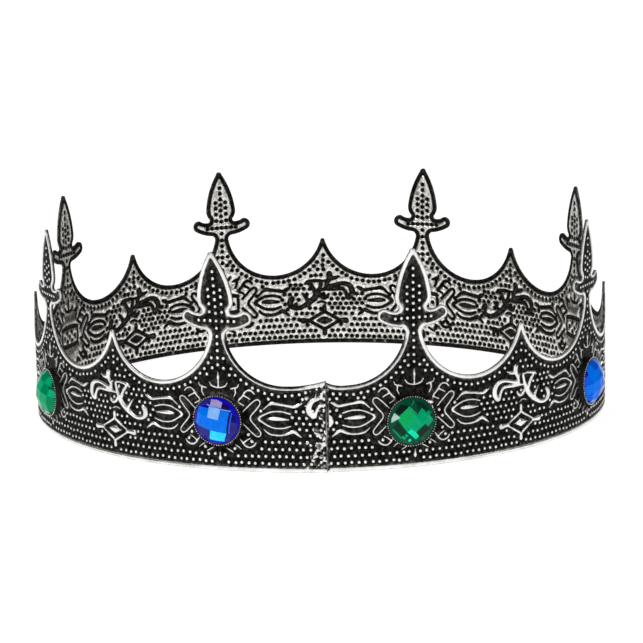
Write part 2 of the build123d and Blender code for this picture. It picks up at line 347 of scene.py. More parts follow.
def scallop_dots(run, side, last_angle):
    """One row that follows a scallop's edge, from the neck round to the cusp."""
    radius = SCALLOP_RADIUS + RIM + 1.5
    first_angle = math.radians(-62)
    count = round((last_angle - first_angle) * radius / DOT_PITCH)
    row = []
    for k in range(count + 1):
        angle = first_angle + (last_angle - first_angle) * k / count
        x = SCALLOP_RUN + radius * math.sin(angle)
        row.append((run + side * x, SCALLOP_CENTRE - radius * math.cos(angle)))
    return row


def lattice_dots():
    """Rows that fill the ground under the scallops; the crowded ones are dropped later."""
    dots = []
    for row, z in enumerate((2.6, 4.8, 7.0, 9.2, 11.3, 13.2, 15.0, 16.8, 18.7, 20.7, 22.4)):
        for run in CUSP_RUNS + BEYOND_SEAM:
            for k in range(-18, 19):
                x = run + (k + 0.5 * (row % 2)) * DOT_PITCH
                if abs(x - run) < HALF_PITCH:
                    dots.append((x, z))
    return dots


def all_dots(line_set, edge):
    """Accepts dots one by one where they keep clear of lines, rim, cups and each other."""
    line_room, rim_room, cup_room, dot_room, jitter = 0.72, RIM + 0.75, 9.3, 1.68, 0.09
    eye_start, eye_end, eye_height, eye_half = 12, 22.3, 16.1, 1.9
    fixed, wanted = [], []
    for i, run in enumerate(FINIAL_RUNS):
        fixed += [(run + x, z) for x, z in FINIAL_DOTS]
        for side in (-1, 1):
            at_seam = (i == 0 and side == -1) or (i == FINIALS - 1 and side == 1)
            wanted += scallop_dots(run, side, math.radians(18 if at_seam else 50))
    for run in CUSP_RUNS:
        wanted += [(run + x, z) for x, z in CUSP_DOTS]
    wanted += lattice_dots()
    fixed, wanted = lean(np.array(fixed)), np.array(wanted)
    wanted += rng.normal(0, jitter, wanted.shape)
    clear = line_set.distance(wanted) > line_room
    clear &= edge.distance(wanted) > rim_room
    clear &= gem_distance(wanted) > cup_room
    level_with_eye = np.abs(wanted[:, 1] - eye_height) < eye_half
    for run in FINIAL_RUNS:
        aside = np.abs(wanted[:, 0] - run)
        clear &= ~((aside > eye_start) & (aside < eye_end) & level_with_eye)
    clear &= off_ends(wanted, 1)
    kept = list(fixed)
    for dot in wanted[clear]:
        near = np.array(kept)
        near = near[np.abs(near[:, 0] - dot[0]) < DOT_PITCH]
        if not len(near) or np.hypot(*(near - dot).T).min() > dot_room:
            kept.append(dot)
    return np.array(kept)


# --- relief as a height field ---
def ramp(x, low, high):
    t = np.clip((x - low) / (high - low), 0, 1)
    return t * t * (3 - 2 * t)


def ring_points(centres, radius, count, turn=0.0):
    angles = math.tau * (np.arange(count) + turn) / count
    offsets = radius * np.column_stack([np.cos(angles), np.sin(angles)])
    return (centres[:, None, :] + offsets[None, :, :]).reshape(-1, 2)


def beside(line, distance):
    """Points at a distance outside a stroke's edge, both sides and round both ends."""
    middle, half = line[:, :2], line[:, 2] + distance
    if (half <= 0.03).all():
        return np.empty((0, 2))
    along = np.gradient(middle, axis=0)
    along /= np.maximum(np.hypot(*along.T), 1e-9)[:, None]
    normal = np.column_stack([-along[:, 1], along[:, 0]])
    sides = [middle + normal * half[:, None], middle - normal * half[:, None]]
    for tip, way, radius in ((middle[0], -along[0], half[0]), (middle[-1], along[-1], half[-1])):
        angle = math.atan2(way[1], way[0]) + np.radians([-60, -30, 0, 30, 60])
        sides.append(tip + radius * np.column_stack([np.cos(angle), np.sin(angle)]))
    return np.vstack(sides)


def offset_loop(loop, distance):
    """Points at a distance inside a counter-clockwise loop."""
    along = np.roll(loop, -1, axis=0) - np.roll(loop, 1, axis=0)
    along /= np.maximum(np.hypot(*along.T), 1e-9)[:, None]
    return loop + distance * np.column_stack([-along[:, 1], along[:, 0]])


def thin_out(groups):
    """Keeps the points that stay clear of those before them; groups are (points, clearance)."""
    cell = 0.6
    kept, grid = [], {}
    for points, clearance in groups:
        reach = int(clearance // cell) + 1
        around = range(-reach, reach + 1)
        for x, y in points:
            i, j = int(x // cell), int(y // cell)
            crowded = any((x - px) ** 2 + (y - py) ** 2 < clearance**2
                          for di in around for dj in around
                          for px, py in grid.get((i + di, j + dj), ()))
            if not crowded:
                kept.append((x, y))
                grid.setdefault((i, j), []).append((x, y))
    return kept


def face_points(loop, edge, width, line_set, lines, dots, splashes, rim_steps, line_steps,
                dot_rings):
    """Points of one face: the outline, then the contours of the relief, then the ground.

    Points that strayed from their row's distance, as where strokes cross, are left out."""
    contour = []
    for distance in rim_steps:
        points = offset_loop(loop, (distance * width)[:, None])
        contour.append(points[np.abs(edge.distance(points) - distance * width) < 0.06])
    contour += [line[:, :2] for line in lines]
    for distance in line_steps:
        points = np.vstack([beside(line, distance) for line in lines])
        contour.append(points[np.abs(line_set.distance(points) - distance) < 0.05])
    for radius, count, turn in dot_rings:
        contour.append(ring_points(dots, radius, count, turn))
    for x, z, radius in splashes:
        middle = np.array([[x, z]])
        contour += [middle, ring_points(middle, 0.6 * radius, 6), ring_points(middle, radius, 9)]
    contour = np.vstack(contour)
    clear = (edge.distance(contour) > 0.12) & is_inside(contour, loop) & off_ends(contour, 0.15)
    contour = contour[clear]
    columns = np.arange(RUN_START + 1.5, RUN_END - 1.5, GROUND_STEP)
    ground = np.array([(x, z) for x in columns for z in np.arange(1.9, TIP, GROUND_STEP)])
    between = np.vstack([dots + (DOT_PITCH / 2, side * DOT_PITCH / 3.5) for side in (-1, 1)])
    between, ground = (p[is_inside(p, loop)] for p in (between, ground))
    between, ground = (p[edge.distance(p) > RIM + 0.3] for p in (between, ground))
    return thin_out([(loop, 0.0), (contour, RELIEF_GAP), (between, BETWEEN_GAP),
                     (ground, GROUND_GAP)])


def triangulate(points, loop):
    """Delaunay triangles inside the outline, whose points come first; also where those went."""
    count = len(loop)
    flat, _, triangles, sources, _, _ = delaunay_2d_cdt(
        [Vector(p) for p in points], [], [list(range(count))], 1, 1e-5, True)
    moved = {source: index for index, group in enumerate(sources) for source in group}
    flat = np.array([p[:] for p in flat])
    rim = [moved[i] for i in range(count)]
    on_rim = np.zeros(len(flat), bool)
    on_rim[rim] = True
    triangles = np.array(triangles)
    keep = ~on_rim[triangles].all(axis=1)
    doubtful = np.flatnonzero(~keep)
    keep[doubtful] = is_inside(flat[triangles[doubtful]].mean(axis=1), loop)
    return flat, triangles[keep], rim


def is_inside(points, loop):
    """Which points lie inside a closed loop, by counting crossings."""
    x, y = points[:, 0], points[:, 1]
    inside = np.zeros(len(points), bool)
    for (x0, y0), (x1, y1) in zip(loop, np.roll(loop, -1, axis=0)):
        if y0 == y1:
            continue
        crosses = (y0 > y) != (y1 > y)
        inside ^= crosses & (x < x0 + (y - y0) * (x1 - x0) / (y1 - y0))
    return inside


# --- the band ---
CUP_HEIGHT = 15.2
# How far each cup sits from its nominal place, along the strip and up.
CUP_DRIFT = [(-1.6, -0.6), (-0.8, -0.5), (0.4, 0.2), (-0.5, 0.3), (0.2, -0.3), (0.5, 0.1),
             (1.6, -1.0), (0.1, 0.5)]
GEMS = [(run + x, CUP_HEIGHT + z) for run, (x, z) in zip(FINIAL_RUNS, CUP_DRIFT)]
SEAT = 6.6          # radius of the flat spot that each cup is soldered to
COVERED = 7.4       # nearer than this to a cup's middle, no dot shows outside


def gem_distance(points):
    return np.hypot(*(points[:, None] - np.array(GEMS)).T).min(0)


def dot_distance(points, dots):
    """Distance from each point to the nearest dot's middle, within reach."""
    reach = 1.2
    result = np.full(len(points), FAR)
    dots = dots[np.argsort(dots[:, 0])]
    low = np.searchsorted(dots[:, 0], points[:, 0] - reach)
    high = np.searchsorted(dots[:, 0], points[:, 0] + reach)
    for i, (a, b) in enumerate(zip(low, high)):
        if b > a:
            near = dots[a:b]
            result[i] = np.hypot(near[:, 0] - points[i, 0], near[:, 1] - points[i, 1]).min()
    return result


def rim_width(points):
    """The rim's width as a share of RIM, less round the arms of the cross-guards."""
    aside = np.abs(points[:, None, 0] - np.array(FINIAL_RUNS)).min(axis=1)
    height = points[:, 1]
    arm = ramp(aside, 3.0, 4.5) * ramp(height, 41.5, 43.0) * (1 - ramp(height, 48.7, 49.7))
    return 1 - 0.3 * arm


def outer_relief(points, e, d, r, splashes):
    """Share of the full relief at each point of the outer face, 0 on the ground.

    e, d and r are the distances from the outline, a stroke's edge and a dot's middle."""
    crest, half_width = 0.6, 0.72
    rim = np.sqrt(np.clip(1 - ((e - crest) / half_width)**2, 0, 1))
    line = 1 - ramp(d, -0.2, 0.13)
    bead = np.sqrt(np.clip(1 - (r / (DOT + 0.02))**2, 0, 1))
    seat = 0.84 * (1 - ramp(gem_distance(points), SEAT, SEAT + 0.4))
    share = np.max([rim, line, bead, seat], axis=0)
    for x, z, radius in splashes:
        gap = np.hypot(points[:, 0] - x, points[:, 1] - z) / radius
        share = np.maximum(share, 1.05 * np.sqrt(np.clip(1 - gap**2, 0, 1)))
    return share


def inner_dent(e, d, r):
    """Share of the full dent on the inner face, 0 on the ground, by the same distances."""
    rim = ramp(e, 0.0, LEDGE[0]) * (1 - ramp(e, *LEDGE))
    return np.max([rim, 1 - ramp(d, *GROOVE), 1 - ramp(r, *PIT)], axis=0)


def open_room(e, d, r):
    """How far a point of the ground lies from the nearest relief, negative on the relief."""
    return np.min([e - RIM, d, r - DOT], axis=0)


def outer_tone(share, room, depth):
    """Silver on the relief, grey on open ground and black painted contact shade right beside the
    relief.

    Broad strokes get painted shade inside, which leaves a painted highlight along their edges:
    depth is how far inside one a point is."""
    # painted shade in the middles of broad strokes, leaving a painted highlight on their edges
    raised = share - 0.15 * ramp(depth, 0.25, 0.6)
    # the extra drop of up to -0.12 right beside the relief is painted contact shade
    return np.where(share > 0, raised, -0.1 - 0.12 * (1 - ramp(room, 0.1, 0.5)))


def seam_edge_darkening(points, edge):
    """Darker along the edge of the scallops beside the seam, most on the left one."""
    run, height = points.T
    left = ramp(run, FINIAL_RUNS[-1] + 1.8, FINIAL_RUNS[-1] + 3.2)
    left *= 1 - 0.8 * ramp(run, RUN_END - 10, RUN_END - 5)
    right = 1 - ramp(run, FINIAL_RUNS[0] - 3.2, FINIAL_RUNS[0] - 1.8)
    low = ramp(height, 20, 24) * (1 - ramp(height, 39, 42))
    return low * (left + 0.6 * right) * (1 - ramp(edge.distance(points), 0.2, 0.9))


def inner_tone(share, room):
    """Dark in the dents, blackest just inside their lips, with a painted highlight on the ground
    just outside.
    """
    # lip: painted highlight, brightest where the ground meets a dent
    lip = 1.5 - 0.4 * ramp(room, 0.55, 1.05)
    return (1 - share) * lip - 0.3 + 0.4 * ramp(-room, 0.15, 0.6)


def solder_splashes():
    """Lumps of solder that spattered over the pattern left of the seam: run, height, radius."""
    lumps = []
    for _ in range(SPLASHES):
        away = abs(rng.normal(0, 2.6))
        lumps.append((RUN_END - 0.3 - away, rng.uniform(1.2, 26.5), rng.uniform(0.25, 0.6)))
    return lumps


def strip_mesh():
    """The whole strip, embossed, as one closed mesh bent to the ring, with marks by point."""
    loop, bottom_count = band_outline()
    thin = np.column_stack([loop, np.zeros(len(loop))])
    edge = Nearby([thin[:bottom_count], thin[bottom_count:]])
    lines = strokes()
    line_set = Nearby(lines)
    dots = all_dots(line_set, edge)
    shown = [line for line in lines if gem_distance(line[:, :2]).max() > SEAT + 0.6]
    splashes = solder_splashes()
    outside = face_points(loop, edge, rim_width(loop), line_set, shown,
                          dots[gem_distance(dots) > COVERED], splashes, *OUTER_ROWS)
    inside = face_points(loop, edge, np.ones(len(loop)), line_set, lines, dots, [], *INNER_ROWS)

    flat, outer_faces, outer_rim = triangulate(outside, loop)
    e, d, r = edge.distance(flat), line_set.distance(flat), dot_distance(flat, dots)
    e = e / rim_width(flat)
    share = outer_relief(flat, e, d, r, splashes)
    outer_verts = bend(*flat.T, GROUND + RELIEF * share)
    outer_tones = outer_tone(share, open_room(e, d, r), -d) - seam_edge_darkening(flat, edge)

    flat, inner_faces, inner_rim = triangulate(inside, loop)
    e, d, r = edge.distance(flat), line_set.distance(flat), dot_distance(flat, dots)
    share, room = inner_dent(e, d, r), open_room(e, d, r)
    inner_verts = bend(*flat.T, BACK + DENT * share)
    inner_tones = np.where(room < 0, inner_tone(1.0, room), inner_tone(share, room))
    inner_tones[~off_ends(flat, 0.05)] = 0.0

    base = len(outer_verts)
    faces = outer_faces.tolist() + (inner_faces[:, ::-1] + base).tolist()
    for i in range(len(loop)):
        j = (i + 1) % len(loop)
        faces.append([outer_rim[j], outer_rim[i], inner_rim[i] + base, inner_rim[j] + base])
    verts = np.vstack([outer_verts, inner_verts])
    return verts, faces, {"tone": np.concatenate([outer_tones, inner_tones]),
                          "inner": np.arange(len(verts)) >= base}


def new_mesh(name, verts, faces, material, smooth_faces=True):
    mesh = bpy.data.meshes.new(name)
    mesh.from_pydata([tuple(v) for v in verts], [], [tuple(f) for f in faces])
    mesh.validate()
    mesh.update()
    mesh.polygons.foreach_set("use_smooth", [smooth_faces] * len(mesh.polygons))
    mesh.materials.append(material)
    piece = bpy.data.objects.new(name, mesh)
    bpy.context.scene.collection.objects.link(piece)
    return piece


# --- materials ---
class Nodes:
    """Short-hand for building the node tree of a material or a world."""

    def __init__(self, name, shader="Principled BSDF"):
        owners = bpy.data.worlds if shader == "Background" else bpy.data.materials
        self.owner = owners.new(name)
        self.owner.use_nodes = True
        self.tree = self.owner.node_tree
        self.shader = self.tree.nodes[shader]

    def add(self, kind, *inputs, **settings):
        node = self.tree.nodes.new("ShaderNode" + kind)
        for key, value in settings.items():
            setattr(node, key, value)
        for socket, value in zip(node.inputs, inputs):
            self.put(socket, value)
        return node.outputs[0]

    def put(self, socket, value):
        if isinstance(value, bpy.types.NodeSocket):
            self.tree.links.new(value, socket)
        elif value is not None:
            socket.default_value = value

    def wire(self, node, **inputs):
        for key, value in inputs.items():
            self.put(node.inputs[key.replace("_", " ")], value)
        return node

    def set(self, **inputs):
        self.wire(self.shader, **inputs)

    def place(self, kind="Object"):
        return self.add("TexCoord").node.outputs[kind]

    def noise(self, scale, detail=3.0, roughness=0.6):
        node = self.wire(self.add("TexNoise").node, Vector=self.place(), Scale=scale,
                         Detail=detail, Roughness=roughness)
        return node.outputs["Fac"]

    def ramp(self, fac, *stops):
        node = self.add("ValToRGB", fac).node
        elements = node.color_ramp.elements
        while len(elements) < len(stops):
            elements.new(0.5)
        for element, (position, colour) in zip(elements, stops):
            element.position = position
            element.color = (*colour, 1)
        return node.outputs["Color"]

    def grey_ramp(self, fac, low, high, value_low=0.0, value_high=1.0):
        return self.ramp(fac, (low, (value_low,) * 3), (high, (value_high,) * 3))

    def mix(self, fac, a, b, blend_type="MIX"):
        node = self.add("Mix", data_type="RGBA", blend_type=blend_type).node
        return self.wire(node, Factor=fac, A=a, B=b).outputs["Result"]

    def multiply(self, a, b):
        return self.mix(1.0, a, b, "MULTIPLY")

    def math(self, operation, a, b=None):
        return self.add("Math", a, b, operation=operation)

    def uneven(self, level, grain, amount):
        """A level made rough by the grain."""
        return self.math("ADD", level, self.math("MULTIPLY", self.math("SUBTRACT", grain, 0.5),
                                                 amount))

    def dot(self, vector, direction):
        node = self.add("VectorMath", vector, direction, operation="DOT_PRODUCT").node
        return node.outputs["Value"]

    def attribute(self, name, kind="Fac"):
        return self.add("Attribute", attribute_name=name).node.outputs[kind]

    def bump(self, height, strength, distance):
        node = self.wire(self.add("Bump").node, Height=height, Strength=strength,
                         Distance=distance)
        self.set(Normal=node.outputs["Normal"])


def antique_silver():
    """Cast-looking silver: black patina and painted contact shade in the ground, rubbed bright on
    everything raised.
    """
    n = Nodes("antique silver")
    grain = n.noise(900, 4, 0.7)
    blotch = n.noise(160, 3, 0.6)
    inner = n.attribute("inner")
    level = n.attribute("tone")
    rubbed = n.grey_ramp(n.uneven(level, grain, 0.5), 0.4, 0.82)
    # The ground turns blacker where the tone drops beside the relief: painted contact shade.
    patina = n.ramp(n.math("ADD", grain, n.math("MULTIPLY", level, 0.5)),
                    (0.32, (0.001,) * 3), (0.48, (0.014, 0.0135, 0.0125)),
                    (0.62, (0.045, 0.0435, 0.040)), (0.75, (0.15, 0.145, 0.135)))
    metal = n.ramp(blotch, (0.25, (0.62, 0.61, 0.58)), (0.6, (0.92, 0.915, 0.90)))
    # Inner face: the tone also brings the painted highlight just outside each dent.
    satin = n.ramp(n.math("ADD", n.math("MULTIPLY", grain, 0.7), n.math("MULTIPLY", level, 0.5)),
                   (0.74, (0.2, 0.19, 0.17)), (0.88, (0.42, 0.405, 0.365)),
                   (1.0, (0.95, 0.94, 0.905)))
    # Painted shade: the inner face is painted darker towards the ring's left and right sides, most
    # on the left.
    across = n.math("DIVIDE", n.add("SeparateXYZ", n.place()), RING_RADIUS * MM)
    aside = n.math("MAXIMUM", n.math("MULTIPLY", across, -1.0), n.math("MULTIPLY", across, 0.85))
    painted_side_shade = n.grey_ramp(aside, 0.7, 0.95, 1.0, 0.6)
    bright = n.mix(inner, metal, n.multiply(satin, painted_side_shade))
    n.set(Base_Color=n.mix(rubbed, patina, bright),
          Metallic=n.math("MULTIPLY", rubbed, n.grey_ramp(inner, 0, 1, 0.9, 0.92)),
          Roughness=n.mix(rubbed, n.grey_ramp(grain, 0.3, 0.7, 0.65, 0.45),
                          n.grey_ramp(blotch, 0.3, 0.7, 0.18, 0.32)),
          Specular_IOR_Level=0.03)
    n.bump(grain, 0.5, 0.00012)
    return n.owner


def cup_silver(outward, rim_level):
    """Blackened cup, rubbed a little along its top edge."""
    n = Nodes("cup silver")
    grain = n.noise(1100, 4, 0.7)
    out = n.dot(n.place(), outward)
    level = n.math("MULTIPLY", n.math("SUBTRACT", out, rim_level - 0.6 * MM), 1 / MM)
    bright = n.grey_ramp(n.uneven(level, grain, 0.7), 0.55, 0.95)
    patina = n.ramp(grain, (0.4, (0.001,) * 3), (0.65, (0.009, 0.0087, 0.008)),
                    (0.8, (0.06, 0.058, 0.055)))
    metal = n.ramp(grain, (0.4, (0.004, 0.004, 0.0038)), (0.7, (0.08, 0.079, 0.076)))
    n.set(Base_Color=n.mix(bright, patina, metal), Metallic=n.grey_ramp(bright, 0, 1, 0.3, 0.9),
          Roughness=n.grey_ramp(grain, 0.3, 0.7, 0.5, 0.3))
    n.bump(grain, 0.4, 0.0001)
    return n.owner


def grainy(name, noise, stops, metallic, roughness, bump):
    """A metal whose colour and roughness follow one grain."""
    n = Nodes(name)
    grain = n.noise(*noise)
    n.set(Base_Color=n.ramp(grain, *stops), Metallic=metallic,
          Roughness=n.grey_ramp(grain, 0.3, 0.7, *roughness))
    n.bump(grain, *bump)
    return n.owner


def bead_silver():
    stops = ((0.32, (0.3, 0.295, 0.285)), (0.5, (0.8, 0.79, 0.77)), (0.7, (0.95, 0.945, 0.93)))
    return grainy("bead silver", (700, 3, 0.6), stops, 0.9, (0.4, 0.22), (0.3, 0.00008))


def solder():
    stops = ((0.42, (0.006,) * 3), (0.52, (0.05, 0.048, 0.045)), (0.68, (0.72, 0.71, 0.69)))
    return grainy("solder", (650, 4, 0.7), stops, 0.7, (0.6, 0.3), (0.9, 0.0003))


def foil_silver():
    stops = ((0.3, (0.75, 0.75, 0.78)), (0.7, (0.95, 0.95, 0.96)))
    return grainy("foil", (500, 2, 0.5), stops, 1.0, (0.12, 0.3), (0.4, 0.0002))


def glass():
    """Foil-backed glass: the facets' colours, painted highlights, reflections and shade among them,
    seen under a hard clear polish.
    """
    n = Nodes("foiled glass")
    cloud = n.noise(700, 3, 0.6)
    shade = n.grey_ramp(cloud, 0.3, 0.7, 0.78, 1.0)
    n.set(Base_Color=n.multiply(n.attribute("glass", "Color"), shade),
          Roughness=n.grey_ramp(cloud, 0.3, 0.7, 0.05, 0.12),
          Metallic=0.0, Coat_Weight=0.05, Coat_Roughness=0.03, Specular_IOR_Level=0.05)
    n.bump(cloud, 0.05, 0.0001)
    return n.owner


# --- stones ---
CUP_RADIUS, CUP_WALL, CUP_FLOOR, CUP_DEPTH, CUP_LIFT = 7.6, 0.45, 0.4, 1.8, 0.15
FOIL, GIRDLE, DOME, FACET, CLEARANCE = 0.1, 1.2, 3.3, 3.1, 0.05
STONE_RADIUS = CUP_RADIUS - CUP_WALL - CLEARANCE
DOME_RADIUS = (STONE_RADIUS**2 + DOME**2) / (2 * DOME)
STONE_TURN = [42, 17, 61, 5, 49, 28, 72, -9]
STONE_SIDES = 72
# small patches of painted highlight and shade on a stone that isn't seen from the front
GLINT_AND_SHADE_PATCHES = 5          # small patches on a stone that isn't seen from the front
# the dark band inside the girdle is painted shade
GIRDLE_BAND = 0.45  # width of the dark band inside the girdle
STEPS = [FACET * k for k in range(-2, 3)]
CELLS = [(a, b) for a in STEPS for b in STEPS if a * a + b * b < STONE_RADIUS**2]
FRONT_TILT = math.radians(12)   # how far above level the front is looked at

# Colours of the facets: main is the glass's own; light, bright, pale and mint are painted
# highlights and reflections; shade, deep and dark are painted shade, and edge is the painted shade
# of the band inside the girdle.
BLUE = {"edge": (0.008, 0.004, 0.5), "deep": (0.03, 0.025, 0.24), "dark": (0.01, 0.003, 0.09),
        "main": (0.0, 0.19, 0.95), "light": (0.25, 0.52, 1.0), "bright": (0.03, 0.72, 1.0),
        "pale": (0.42, 0.36, 0.72), "shade": (0.0, 0.12, 0.85)}
GREEN = {"edge": (0.0, 0.085, 0.04), "deep": (0.003, 0.036, 0.018), "dark": (0.002, 0.012, 0.007),
         "main": (0.0, 0.41, 0.18), "light": (0.0, 0.44, 0.12), "bright": (0.0, 0.82, 0.45),
         "pale": (0.5, 0.68, 0.6), "shade": (0.0, 0.24, 0.10), "mint": (0.12, 0.45, 0.3)}

# What shows in the two front stones: a colour and the corners of each patch (painted highlights,
# reflections and shade, and the glass's own colour), sideways and up from the cup's middle as the
# crown's front is looked at.
FRONT_BLUE = [
    ("deep", [(-2.3, 6.3), (-1.7, 6.2), (-2.1, 4.7), (-4.9, 4.6), (-4.0, 5.6)]),
    ("dark", [(1.8, 5.5), (3.9, 4.4), (3.6, 3.4), (1.3, 3.8)]),
    ("dark", [(4.3, 2.5), (5.6, 1.4), (5.5, -0.6), (4.4, -0.2)]),
    ("deep", [(4.3, -0.1), (6.2, -0.6), (5.9, -2.6), (3.6, -5.5), (2.4, -6.1), (3.4, -1.5)]),
    ("dark", [(3.8, 2.6), (4.3, 2.5), (3.1, -4.2), (2.6, -3.6)]),
    ("deep", [(-5.9, -0.9), (-2.0, -2.8), (-2.2, -5.7), (-4.3, -5.0), (-6.0, -2.2)]),
    ("main", [(-5.3, 4.3), (1.2, 3.4), (3.8, 2.7), (2.8, -3.5), (0.0, -3.3), (-3.4, -2.4),
              (-6.6, -0.7), (-5.9, 0.8)]),
    ("light", [(-2.2, 4.2), (1.2, 3.6), (0.4, 0.35), (-2.8, 1.0)]),
    ("pale", [(-1.5, 6.4), (0.3, 6.3), (1.8, 5.5), (1.4, 3.9), (-1.9, 4.6)]),
    ("bright", [(-2.0, -2.8), (2.8, -3.6), (2.1, -6.1), (-2.2, -5.6)]),
    ("light", [(-2.9, 4.95), (4.2, 3.2), (4.3, 2.95), (-2.9, 4.7)]),
    ("main", [(4.45, 2.7), (4.7, 2.5), (3.7, -3.6), (3.45, -3.6)]),
]
FRONT_GREEN = [
    ("dark", [(-3.4, 5.4), (-0.9, 4.7), (-3.6, 2.3), (-5.2, 3.3)]),
    ("deep", [(1.0, 5.8), (3.2, 5.4), (5.2, 3.2), (4.4, 2.6), (2.9, 3.9), (1.9, 2.8)]),
    ("deep", [(-4.5, 0.4), (-2.0, -2.9), (-3.0, -4.1), (-5.8, -1.4)]),
    ("deep", [(1.6, -3.4), (3.9, -1.0), (5.6, -2.4), (3.8, -5.1), (2.3, -5.0)]),
    ("light", [(-0.9, 4.6), (1.4, 1.7), (-2.3, -1.9), (-4.3, 1.0), (-3.6, 2.2)]),
    ("main", [(1.4, 1.7), (2.9, 3.8), (4.4, 2.4), (4.9, 3.0), (5.6, 2.4), (5.3, 1.5), (6.5, 0.1),
              (4.7, -1.9), (3.9, -0.8), (1.1, -3.1), (-1.5, -3.0), (-2.3, -1.9)]),
    ("bright", [(-1.5, -3.0), (-0.3, -2.2), (1.0, -3.2), (2.0, -4.5), (1.0, -5.4)]),
    ("pale", [(-5.3, 3.0), (-3.6, 1.5), (-6.3, 0.1), (-6.1, 1.5)]),
    ("mint", [(-0.6, 4.35), (-0.45, 4.4), (1.45, 2.15), (1.4, 1.95)]),
    ("main", [(-2.9, -4.0), (-1.9, -4.7), (-2.4, -5.3), (-3.4, -4.6)]),
    ("light", [(-1.9, -3.5), (-1.2, -4.1), (-1.7, -4.6), (-2.3, -4.0)]),
    ("bright", [(-0.8, -5.0), (-0.2, -5.5), (-0.8, -6.1), (-1.4, -5.6)]),
    ("main", [(-6.0, -1.9), (-5.6, -1.9), (-3.3, -4.6), (-3.5, -4.9)]),
    ("mint", [(-0.1, 4.8), (0.0, 4.75), (0.7, 6.3), (0.6, 6.35)]),
]


def turned(point, angle):
    x, y = point
    return (x * math.cos(angle) - y * math.sin(angle), x * math.sin(angle) + y * math.cos(angle))


def square(middle, half, turn=0.0):
    """Corners of a square or an upright rectangle, turned about the origin."""
    corners = half * np.array([(-1, -1), (1, -1), (1, 1), (-1, 1)])
    return [turned(middle + corner, turn) for corner in corners]


def other_patches(turn):
    """Painted highlight and shade patches for a stone whose facets show no more than their rough
    pattern; facets near the rim get painted shade more often.
    """
    patches = []
    for a in STEPS:
        for b in STEPS:
            far = math.hypot(a, b) > STONE_RADIUS - 1.5
            names = ("shade", "main", "main", "shade") if far else ("main", "shade", "main", "main")
            patches.append((names[rng.integers(4)], square((a, b), FACET / 2, turn)))
    for _ in range(GLINT_AND_SHADE_PATCHES):
        middle, half = rng.uniform(-5, 5, 2), rng.uniform(0.2, 0.7, 2)
        name = ("light", "shade", "shade", "deep")[rng.integers(4)]
        patches.append((name, square(middle, half, turn)))
    return patches


def tangent(cell, x, y):
    """Height over the dome's centre of the plane that touches the dome at a facet's middle."""
    a, b = cell
    return (DOME_RADIUS**2 - a * x - b * y) / math.sqrt(DOME_RADIUS**2 - a * a - b * b)


def facet_height(x, y, turn):
    """Height of the faceted dome above the stone's flat back."""
    x, y = turned((x, y), -turn)
    lowest = min(DOME_RADIUS, *(tangent(cell, x, y) for cell in CELLS))
    return GIRDLE + DOME - DOME_RADIUS + lowest


def facet_outlines(turn):
    """The corners of each flat facet of the dome."""
    outlines = []
    for cell in CELLS:
        facet = square((0, 0), FAR)
        for other in CELLS:
            if other != cell:
                facet = lower_side(facet, cell, other)
        outlines.append([turned(p, turn) for p in facet])
    return outlines


def lower_side(facet, cell, other):
    """Cuts a convex outline back to where its own tangent plane lies below another facet's."""
    kept = []
    for p, q in zip(facet, facet[1:] + facet[:1]):
        hp, hq = (tangent(cell, *corner) - tangent(other, *corner) for corner in (p, q))
        if hp <= 0:
            kept.append(p)
        if hp * hq < 0:
            t = hp / (hp - hq)
            kept.append((p[0] + t * (q[0] - p[0]), p[1] + t * (q[1] - p[1])))
    return kept


def onto_dome(corner, index, turn):
    """Where on the stone a point seen from the front lies, along the strip and up."""
    swing = math.remainder(GEMS[index][0] / RING_RADIUS, math.tau)
    x, y = across, up = corner
    for _ in range(8):
        proud = facet_height(x, y, turn) - (CUP_DEPTH - CUP_FLOOR - FOIL)
        x = (across - proud * math.sin(swing)) / math.cos(swing)
        y = (up + proud * math.cos(swing) * math.sin(FRONT_TILT)) / math.cos(FRONT_TILT)
    return x, y


def setting_frame(index):
    """Outward and sideways directions of a cup and the height of its middle."""
    run, height = GEMS[index]
    azimuth = run / RING_RADIUS
    outward = Vector((math.sin(azimuth), -math.cos(azimuth), 0))
    along = Vector((math.cos(azimuth), math.sin(azimuth), 0))
    return outward, along, height


def set_at(index, x, y, level):
    """Point of a setting: along, up and out from the ring's surface, in metres."""
    outward, along, height = setting_frame(index)
    point = outward * (RING_RADIUS + level) + along * x + Vector((0, 0, height + y))
    return point * MM


